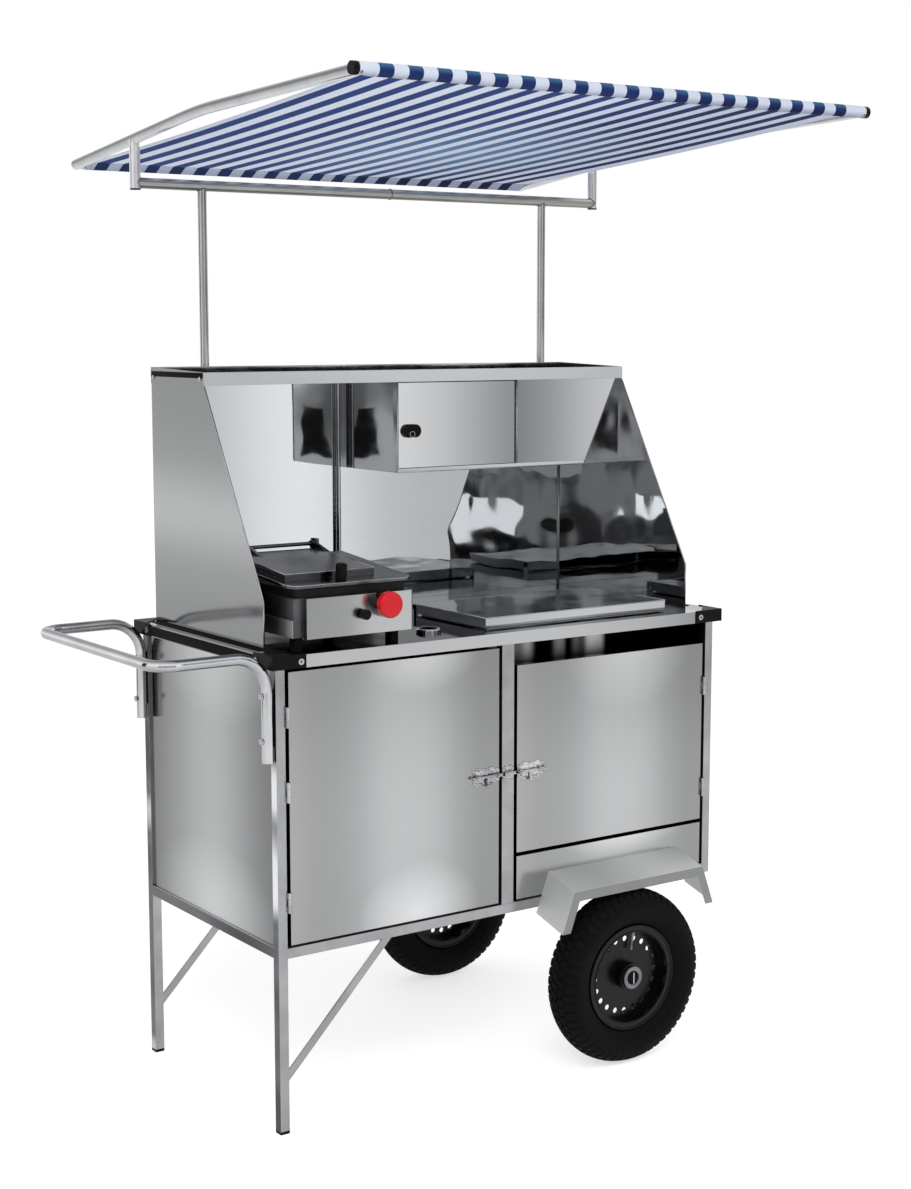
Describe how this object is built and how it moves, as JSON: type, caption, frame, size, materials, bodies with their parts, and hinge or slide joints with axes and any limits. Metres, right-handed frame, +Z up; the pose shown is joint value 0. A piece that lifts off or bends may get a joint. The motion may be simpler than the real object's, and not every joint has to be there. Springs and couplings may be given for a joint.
{
  "type": "hot dog cart",
  "caption": "Stainless street food cart on legs and wheels with a hood, gas press, lidded hot water basin, cupboards, push handle and a striped canopy.",
  "frame": {"origin": "on the floor under the middle of the cart's bounding box", "axes": "+Z up, +X from the handle end towards the wheel end, -Y is the front with the doors"},
  "size_m": [1.456, 1.1593, 1.9961],
  "materials": {
    "satin_steel": "satin stainless sheet and tube",
    "mirror_steel": "mirror polished stainless sheet",
    "chrome_tube": "polished stainless round tube",
    "chrome_hardware": "bright plated hardware",
    "black_plastic": "black moulded plastic",
    "black_rubber": "matt black rubber",
    "tyre_rubber": "black tyre rubber",
    "black_rim": "black painted steel rim",
    "zinc_steel": "zinc plated steel",
    "awning_cloth": "blue and white striped woven cloth",
    "red_plastic": "red moulded plastic",
    "press_steel": "ground steel plate",
    "burner_steel": "dark burner steel"
  },
  "bodies": {
    "chassis": {"lower_front_panel": "satin_steel", "end_panels": "satin_steel", "back_panel": "satin_steel", "cabinet_floor": "satin_steel", "fenders": "satin_steel", "frame_rails": "satin_steel", "uprights": "satin_steel", "leg_braces": "satin_steel", "worktop": "mirror_steel", "hood_side_panels": "mirror_steel", "hood_back_panel": "mirror_steel", "top_tray": "mirror_steel", "cupboard_shell": "mirror_steel", "cupboard_fixed_panel": "mirror_steel", "basin": "mirror_steel", "food_pans": "mirror_steel", "press_body": "mirror_steel", "lid_brackets": "mirror_steel", "hood_post": "chrome_tube", "canopy_poles": "chrome_tube", "canopy_crossbar": "chrome_tube", "canopy_arms": "chrome_tube", "canopy_tubes": "chrome_tube", "pole_sleeves": "chrome_tube", "push_handle": "chrome_tube", "hose_ring": "chrome_tube", "sheet_screws": "chrome_hardware", "handle_bolts": "chrome_hardware", "door_hinge_posts": "chrome_hardware", "bolt_keeper": "chrome_hardware", "corner_caps": "black_plastic", "canopy_end_caps": "black_plastic", "foot_plugs": "black_plastic", "handle_spacers": "black_rubber", "press_feet": "black_rubber", "axle_nuts": "zinc_steel", "axle_brackets": "zinc_steel", "awning": "awning_cloth", "press_hot_plate": "press_steel", "basin_burner": "burner_steel", "press_burner": "burner_steel"},
    "left_door": {"left_door": "satin_steel", "left_door_hinges": "chrome_hardware", "left_bolt_case": "chrome_hardware"},
    "right_door": {"right_door": "satin_steel", "right_door_hinges": "chrome_hardware", "right_bolt_case": "chrome_hardware"},
    "left_bolt": {"left_bolt": "chrome_hardware"},
    "right_bolt": {"right_bolt": "chrome_hardware"},
    "basin_lid": {"basin_lid": "mirror_steel"},
    "press_lid": {"press_lid": "press_steel", "press_lid_knob": "black_plastic"},
    "gas_knob": {"gas_knob": "red_plastic"},
    "igniter_button": {"igniter_button": "black_plastic"},
    "cupboard_door": {"cupboard_door": "mirror_steel"},
    "cupboard_lock": {"cupboard_lock": "black_plastic"},
    "front_wheel": {"front_tyre": "tyre_rubber", "front_rim": "black_rim"},
    "rear_wheel": {"rear_tyre": "tyre_rubber", "rear_rim": "black_rim"}
  },
  "joints": [
    {"name": "left_door_hinge", "type": "hinge", "parent": "chassis", "child": "left_door", "pos_m": [-0.453, -0.2555, 0.64], "axis": [0, 0, -1], "range_deg": [0, 110]},
    {"name": "right_door_hinge", "type": "hinge", "parent": "chassis", "child": "right_door", "pos_m": [0.599, -0.2555, 0.64], "axis": [0, 0, 1], "range_deg": [0, 110]},
    {"name": "left_bolt_slide", "type": "slide", "parent": "left_door", "child": "left_bolt", "axis": [1, 0, 0], "range_m": [0, 0.015]},
    {"name": "right_bolt_slide", "type": "slide", "parent": "right_door", "child": "right_bolt", "axis": [-1, 0, 0], "range_m": [0, 0.015]},
    {"name": "basin_lid_hinge", "type": "hinge", "parent": "chassis", "child": "basin_lid", "pos_m": [0.276, 0.0405, 0.9575], "axis": [-1, 0, 0], "range_deg": [0, 95]},
    {"name": "press_lid_hinge", "type": "hinge", "parent": "chassis", "child": "press_lid", "pos_m": [-0.294, 0.0485, 1.1125], "axis": [-1, 0, 0], "range_deg": [0, 80]},
    {"name": "gas_knob_turn", "type": "hinge", "parent": "chassis", "child": "gas_knob", "pos_m": [-0.237, -0.2515, 1.024], "axis": [0, -1, 0], "range_deg": [0, 180]},
    {"name": "igniter_press", "type": "slide", "parent": "chassis", "child": "igniter_button", "axis": [0, 1, 0], "range_m": [0, 0.005], "stiffness_N_per_m": 300, "springref_m": -0.003},
    {"name": "cupboard_door_hinge", "type": "hinge", "parent": "chassis", "child": "cupboard_door", "pos_m": [0.3145, 0.056, 1.343], "axis": [0, 0, 1], "range_deg": [0, 100]},
    {"name": "cupboard_lock_turn", "type": "hinge", "parent": "cupboard_door", "child": "cupboard_lock", "pos_m": [0.036, 0.0585, 1.336], "axis": [0, 1, 0], "range_deg": [0, 90]},
    {"name": "front_wheel_spin", "type": "hinge", "parent": "chassis", "child": "front_wheel", "pos_m": [0.329, -0.3135, 0.1875], "axis": [0, 1, 0], "continuous": true},
    {"name": "rear_wheel_spin", "type": "hinge", "parent": "chassis", "child": "rear_wheel", "pos_m": [0.329, 0.3705, 0.1875], "axis": [0, 1, 0], "continuous": true}
  ]
}
